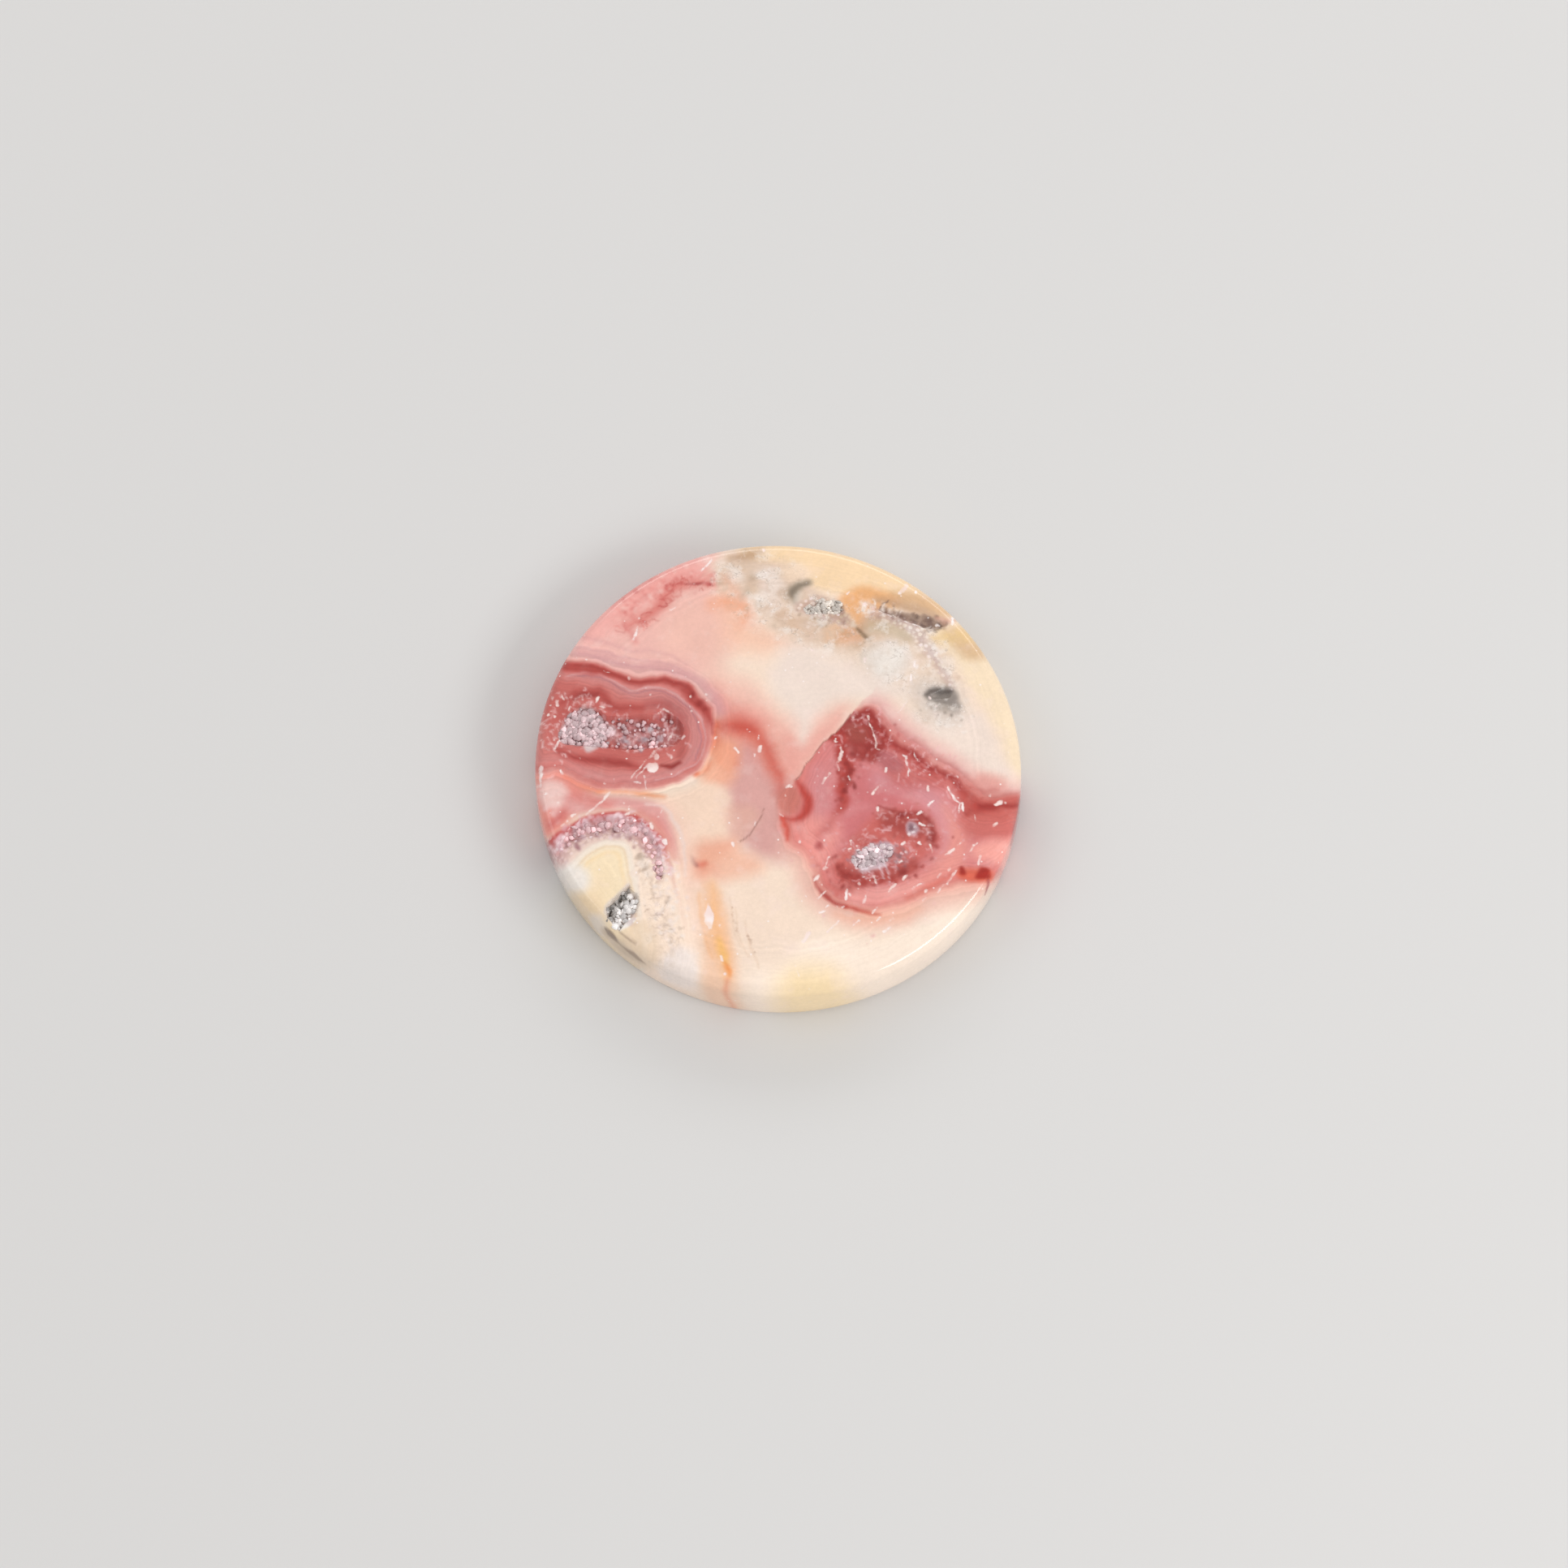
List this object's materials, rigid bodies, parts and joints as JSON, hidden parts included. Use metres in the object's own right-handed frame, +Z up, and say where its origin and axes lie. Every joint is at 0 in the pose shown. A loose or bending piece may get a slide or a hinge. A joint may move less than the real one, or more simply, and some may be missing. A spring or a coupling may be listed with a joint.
{
  "type": "crazy lace agate cabochon",
  "caption": "Round polished agate cabochon: flat back, upright sides, rounded shoulder and low domed face with small quartz-lined pockets, for a bezel cup.",
  "frame": {"origin": "centre of the flat back, on the surface that the stone lies on", "axes": "+Z up through the domed face, -Y towards the edge nearest the viewer in the picture, +X to the viewer's right"},
  "size_m": [0.03, 0.03, 0.0041],
  "materials": {
    "polished_agate": "polished"
  },
  "bodies": {
    "root": {"cabochon": "polished_agate"}
  },
  "joints": []
}
